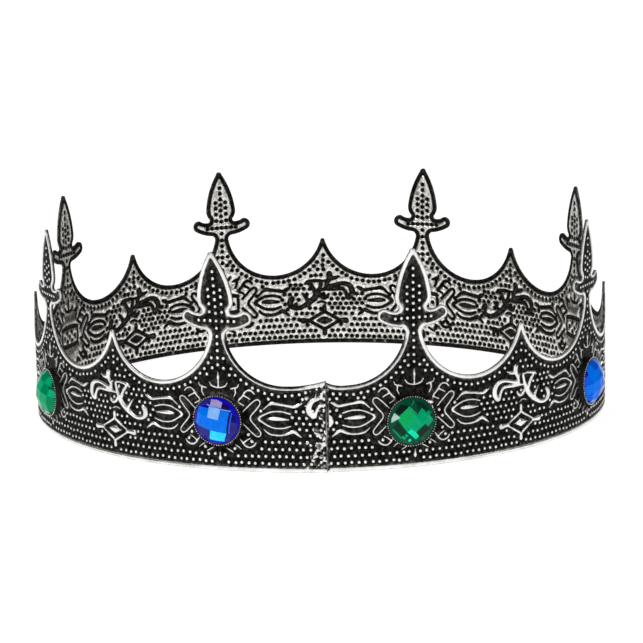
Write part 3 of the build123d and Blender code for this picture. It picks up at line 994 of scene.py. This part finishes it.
def stone(index, material):
    colour, colours = ("green", GREEN) if index % 2 == 0 else ("blue", BLUE)
    turn = math.radians(STONE_TURN[index])
    seen = {0: FRONT_GREEN, 7: FRONT_BLUE}.get(index)
    if seen:
        patches = [(name, [onto_dome(c, index, turn) for c in corners]) for name, corners in seen]
    else:
        patches = other_patches(turn)
    points = [turned((STONE_RADIUS, 0), math.tau * k / STONE_SIDES) for k in range(STONE_SIDES)]
    loop = list(range(STONE_SIDES))
    edges = []
    for corners in [corners for _, corners in patches] + facet_outlines(turn):
        first, count = len(points), len(corners)
        points += corners
        edges += [(first + k, first + (k + 1) % count) for k in range(count)]
    flat, _, triangles, _, _, _ = delaunay_2d_cdt(
        [Vector(p) for p in points], edges, [loop], 1, 1e-4)
    middles = np.array([sum((flat[i] for i in t), Vector((0, 0))) / 3 for t in triangles])
    from_middle = np.hypot(*middles.T)
    names = np.full(len(triangles), "edge", object)
    for name, corners in patches:
        names[is_inside(middles, corners)] = name
    # painted shade: a dark band just inside the girdle
    names[from_middle > STONE_RADIUS - GIRDLE_BAND] = "edge"

    level = CUP_LIFT + CUP_FLOOR + FOIL
    verts = [set_at(index, p.x, p.y, level + facet_height(p.x, p.y, turn)) for p in flat]
    faces, tints, rim = [], [], {}
    for k in np.flatnonzero(from_middle <= STONE_RADIUS * math.cos(math.pi / STONE_SIDES)):
        triangle = triangles[k]
        faces.append(triangle)
        tints.append(colours[names[k]])
        for a, b in zip(triangle, triangle[1:] + triangle[:1]):
            if rim.pop((b, a), None) is None:
                rim[(a, b)] = True
    back = {}
    for a, b in rim:
        for i in (a, b):
            if i not in back:
                back[i] = len(verts)
                verts.append(set_at(index, flat[i].x, flat[i].y, level))
        faces.append([b, a, back[a], back[b]])
    middle = len(verts)
    verts.append(set_at(index, 0, 0, level))
    faces += [[back[b], back[a], middle] for a, b in rim]
    tints += [colours["edge"]] * len(rim) + [colours["deep"]] * len(rim)
    piece = new_mesh(f"cut_stone_{index + 1}_{colour}", verts, faces, material, smooth_faces=False)
    tint = piece.data.attributes.new("glass", "FLOAT_COLOR", "CORNER")
    corners = [(*t, 1) for t, f in zip(tints, piece.data.polygons) for _ in range(f.loop_total)]
    tint.data.foreach_set("color", np.array(corners, np.float32).ravel())
    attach(piece, "root")
    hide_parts(f"stone_{index + 1}_{colour}")


BEADS = 62
BEAD_RADIUS = 0.2


def ball(rows=4, columns=8):
    """Points of a ball of radius 1, from its outer end inwards, and its faces."""
    points, faces = [(0, 0, 1)], []
    for row in range(1, rows):
        t = math.pi * row / rows
        for column in range(columns):
            points.append((*turned((math.sin(t), 0), math.tau * column / columns), math.cos(t)))
    points.append((0, 0, -1))
    for column in range(columns):
        after = (column + 1) % columns
        faces.append([0, 1 + column, 1 + after])
        for a in range(1, 1 + (rows - 2) * columns, columns):
            b = a + columns
            faces.append([a + column, b + column, b + after, a + after])
        faces.append([b + column, len(points) - 1, b + after])
    return points, faces


def milgrain(index, material):
    """The row of tiny beads rolled into a cup's top edge."""
    sunk, inset = 0.06, 0.05
    level = CUP_LIFT + CUP_DEPTH - sunk
    points, bead_faces = ball()
    verts, faces = [], []
    for k in range(BEADS):
        angle = math.tau * (k + rng.uniform(-0.1, 0.1)) / BEADS
        bx, by = turned((CUP_RADIUS - inset, 0), angle)
        radius = BEAD_RADIUS * rng.uniform(0.8, 1.05)
        faces += [[len(verts) + i for i in face] for face in bead_faces]
        verts += [set_at(index, bx + radius * x, by + radius * y, level + radius * z)
                  for x, y, z in points]
    piece = new_mesh(f"milgrain_{index + 1}", verts, faces, material)
    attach(piece, "root")


# --- putting it together ---
def emboss_band():
    verts, faces, marks = strip_mesh()
    piece = new_mesh("embossed_band", verts, faces, antique_silver())
    for mark, values in marks.items():
        attribute = piece.data.attributes.new(mark, "FLOAT", "POINT")
        attribute.data.foreach_set("value", np.array(values, np.float32))
    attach(piece, "root")
    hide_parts("band")


def finish_nodes():
    """Materials of the CAD nodes that stay."""
    lumps, mirror = solder(), foil_silver()
    for name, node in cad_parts.items():
        if name.startswith("cup_solder") or name == "seam_solder":
            material = lumps
        elif name.startswith("foil"):
            material = mirror
        elif name.startswith("cup"):
            outward = setting_frame(int(name[4:]) - 1)[0]
            material = cup_silver(outward, (RING_RADIUS + CUP_LIFT + CUP_DEPTH) * MM)
        else:
            continue
        node.data.materials.clear()
        node.data.materials.append(material)


def camera():
    """Stands in front, a little above, with a slight roll; the numbers are the viewpoint's own."""
    distance, elevation, aim_height = 0.79446, math.radians(11.05), 0.03
    yaw, pitch, roll = math.radians(0.0388), math.radians(-11.2691), math.radians(-1.1936)
    place = (0, -distance * math.cos(elevation), distance * math.sin(elevation) + aim_height)
    data = bpy.data.cameras.new("camera")
    data.lens, data.sensor_width = 132.8, 36.0
    eye = bpy.data.objects.new("camera", data)
    eye.matrix_world = (Matrix.Translation(place) @ Matrix.Rotation(-yaw, 4, "Z")
                        @ Matrix.Rotation(math.pi / 2 + pitch, 4, "X")
                        @ Matrix.Rotation(roll, 4, "Z"))
    bpy.context.scene.collection.objects.link(eye)
    bpy.context.scene.camera = eye


def soft_light(name, place, size, power):
    """A square lamp that faces the crown's middle."""
    aim = Vector((0, 0, 0.03)) - Vector(place)
    data = bpy.data.lights.new(name, "AREA")
    data.size, data.energy = size, power
    lamp = bpy.data.objects.new(name, data)
    lamp.location = place
    lamp.rotation_euler = aim.to_track_quat("-Z", "Y").to_euler()
    bpy.context.scene.collection.objects.link(lamp)


def studio():
    """White behind and before the crown; darker ceiling and sides, for bright metal to show."""
    scene = bpy.context.scene
    scene.view_settings.view_transform = "Standard"
    n = Nodes("white room", "Background")
    scene.world = n.owner
    either_way = n.add("VectorMath", n.place("Generated"), operation="ABSOLUTE")
    n.set(Color=n.grey_ramp(n.dot(either_way, (-0.4, 1.0, -0.3)), 0.0, 0.5, 0.05, 1.0),
          Strength=1.0)
    soft_light("key", (-0.55, -0.55, 0.75), 0.3, 3.2)
    soft_light("fill", (0.8, -0.5, 0.45), 0.3, 0.8)

    n = Nodes("pale floor")
    n.set(Base_Color=(0.6, 0.6, 0.6, 1), Roughness=0.9, Emission_Color=(1, 1, 1, 1),
          Emission_Strength=0.8)
    half_side, drop = 6.0, 0.0002
    corners = [(x, y, 0) for x, y in square((0, 0), half_side)]
    floor = new_mesh("floor", corners, [(0, 1, 2, 3)], n.owner)
    floor.location.z = -drop


camera()
emboss_band()
finish_nodes()
glass_material, bead_material = glass(), bead_silver()
for setting in range(FINIALS):
    stone(setting, glass_material)
    milgrain(setting, bead_material)
studio()
